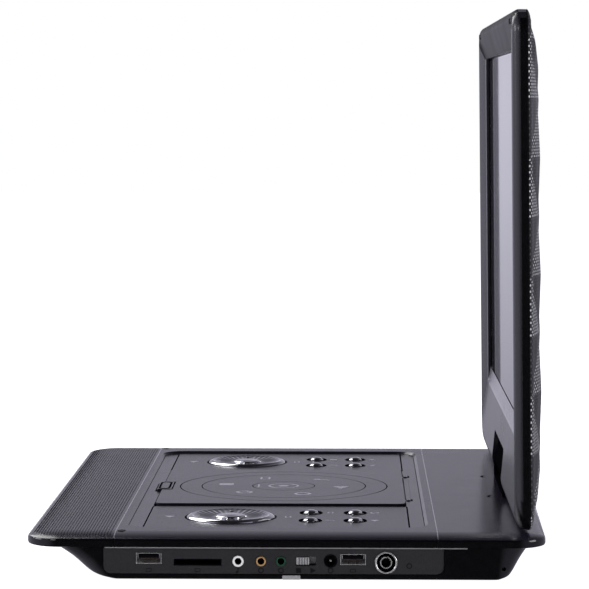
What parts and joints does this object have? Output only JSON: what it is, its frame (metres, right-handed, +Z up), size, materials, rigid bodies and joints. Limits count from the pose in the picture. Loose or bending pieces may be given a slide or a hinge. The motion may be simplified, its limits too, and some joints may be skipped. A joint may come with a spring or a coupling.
{
  "type": "portable dvd player",
  "caption": "Portable disc player: base with lift-up disc door, chrome keys, speaker grille and side sockets, and a wide screen that tilts and swivels on a rear hinge.",
  "frame": {"origin": "on the surface the player stands on, midway between the sides and midway along the base", "axes": "+X to the user's right (socket side), +Y to the rear (screen side), +Z up"},
  "size_m": [0.368, 0.2718, 0.2943],
  "materials": {
    "gloss_black": "polished black moulding",
    "satin_black": "satin black moulding",
    "quilted_black": "fine textured black moulding",
    "chrome": "bright plated",
    "steel": "plain steel",
    "rubber": "soft black",
    "grey_plastic": "light grey",
    "circuit_board": "green solder mask",
    "display": "dark display panel, switched off",
    "battery": "shrink wrap",
    "jack_white": "moulded",
    "jack_tan": "moulded",
    "jack_green": "moulded"
  },
  "bodies": {
    "base": {"lower_housing": "gloss_black", "deck_frame": "gloss_black", "rear_deck": "gloss_black", "hinge_base": "gloss_black", "speaker_grille": "satin_black", "disc_well": "satin_black", "keypad_left": "satin_black", "keypad_right": "satin_black", "port_panel": "satin_black", "power_jack": "satin_black", "card_slot": "satin_black", "usb_socket_front": "steel", "usb_socket_rear": "steel", "antenna_jack": "steel", "power_switch_body": "steel", "speaker_left": "steel", "speaker_right": "steel", "drive_chassis": "steel", "sled_rail_left": "steel", "sled_rail_right": "steel", "sled_motor": "steel", "spindle_motor": "steel", "tilt_pin": "steel", "door_pin": "steel", "foot_front_left": "rubber", "foot_front_right": "rubber", "foot_rear_left": "rubber", "foot_rear_right": "rubber", "bumper_left": "rubber", "bumper_right": "rubber", "main_board": "circuit_board", "battery_pack": "battery", "headphone_jack": "jack_white", "av_out_jack": "jack_tan", "av_in_jack": "jack_green"},
    "hinge_arm": {"hinge_barrel": "gloss_black", "swivel_post": "steel"},
    "screen": {"front_bezel": "gloss_black", "rear_cover": "quilted_black", "display_panel": "display", "display_board": "circuit_board", "swivel_bracket": "steel"},
    "disc_door": {"disc_door": "satin_black"},
    "door_latch": {"door_latch": "satin_black"},
    "power_switch": {"power_switch_knob": "grey_plastic"},
    "turntable": {"turntable": "satin_black"},
    "sled_screw": {"sled_screw": "steel"},
    "laser_sled": {"laser_sled": "satin_black"},
    "key_left_1": {"key_left_1": "chrome"},
    "key_left_2": {"key_left_2": "chrome"},
    "key_left_3": {"key_left_3": "chrome"},
    "key_left_4": {"key_left_4": "chrome"},
    "key_right_1": {"key_right_1": "chrome"},
    "key_right_2": {"key_right_2": "chrome"},
    "key_right_3": {"key_right_3": "chrome"},
    "key_right_4": {"key_right_4": "chrome"},
    "dpad_left": {"dpad_left": "chrome"},
    "dpad_right": {"dpad_right": "chrome"},
    "ok_left": {"ok_left": "chrome"},
    "ok_right": {"ok_right": "chrome"}
  },
  "joints": [
    {"name": "screen_tilt", "type": "hinge", "parent": "base", "child": "hinge_arm", "pos_m": [0, 0.127, 0.0362], "axis": [-1, 0, 0], "range_deg": [-89.3, 35]},
    {"name": "screen_swivel", "type": "hinge", "parent": "hinge_arm", "child": "screen", "pos_m": [0, 0.127, 0.0362], "axis": [0, 0, 1], "range_deg": [0, 180]},
    {"name": "disc_door_lift", "type": "hinge", "parent": "base", "child": "disc_door", "pos_m": [0, 0.0662, 0.0221], "axis": [-1, 0, 0], "range_deg": [0, 65]},
    {"name": "door_latch_press", "type": "slide", "parent": "base", "child": "door_latch", "axis": [0, 0, -1], "range_m": [0, 0.001], "stiffness_N_per_m": 400},
    {"name": "power_switch_slide", "type": "slide", "parent": "base", "child": "power_switch", "axis": [0, 1, 0], "range_m": [0, 0.0034]},
    {"name": "key_left_1_press", "type": "slide", "parent": "base", "child": "key_left_1", "axis": [0, 0, -1], "range_m": [0, 0.0006], "stiffness_N_per_m": 400},
    {"name": "key_left_2_press", "type": "slide", "parent": "base", "child": "key_left_2", "axis": [0, 0, -1], "range_m": [0, 0.0006], "stiffness_N_per_m": 400},
    {"name": "key_left_3_press", "type": "slide", "parent": "base", "child": "key_left_3", "axis": [0, 0, -1], "range_m": [0, 0.0006], "stiffness_N_per_m": 400},
    {"name": "key_left_4_press", "type": "slide", "parent": "base", "child": "key_left_4", "axis": [0, 0, -1], "range_m": [0, 0.0006], "stiffness_N_per_m": 400},
    {"name": "key_right_1_press", "type": "slide", "parent": "base", "child": "key_right_1", "axis": [0, 0, -1], "range_m": [0, 0.0006], "stiffness_N_per_m": 400},
    {"name": "key_right_2_press", "type": "slide", "parent": "base", "child": "key_right_2", "axis": [0, 0, -1], "range_m": [0, 0.0006], "stiffness_N_per_m": 400},
    {"name": "key_right_3_press", "type": "slide", "parent": "base", "child": "key_right_3", "axis": [0, 0, -1], "range_m": [0, 0.0006], "stiffness_N_per_m": 400},
    {"name": "key_right_4_press", "type": "slide", "parent": "base", "child": "key_right_4", "axis": [0, 0, -1], "range_m": [0, 0.0006], "stiffness_N_per_m": 400},
    {"name": "dpad_left_rock", "type": "hinge", "parent": "base", "child": "dpad_left", "pos_m": [-0.113, -0.031, 0.0226], "axis": [1, 0, 0], "range_deg": [-2, 2], "stiffness_Nm_per_rad": 0.3},
    {"name": "ok_left_press", "type": "slide", "parent": "base", "child": "ok_left", "axis": [0, 0, -1], "range_m": [0, 0.0005], "stiffness_N_per_m": 400},
    {"name": "dpad_right_rock", "type": "hinge", "parent": "base", "child": "dpad_right", "pos_m": [0.113, -0.031, 0.0226], "axis": [1, 0, 0], "range_deg": [-2, 2], "stiffness_Nm_per_rad": 0.3},
    {"name": "ok_right_press", "type": "slide", "parent": "base", "child": "ok_right", "axis": [0, 0, -1], "range_m": [0, 0.0005], "stiffness_N_per_m": 400},
    {"name": "turntable_spin", "type": "hinge", "parent": "base", "child": "turntable", "pos_m": [0, -0.0053, 0.0172], "axis": [0, 0, 1], "continuous": true},
    {"name": "sled_screw_turn", "type": "hinge", "parent": "base", "child": "sled_screw", "pos_m": [0.026, -0.0053, 0.0115], "axis": [0, 1, 0], "range_deg": [0, 3720]},
    {"name": "laser_sled_travel", "type": "slide", "parent": "base", "child": "laser_sled", "axis": [0, -1, 0], "range_m": [0, 0.031]}
  ],
  "couplings": [
    {"joint": "sled_screw_turn", "follows": "laser_sled_travel", "rad_per_m": 2094.4}
  ]
}
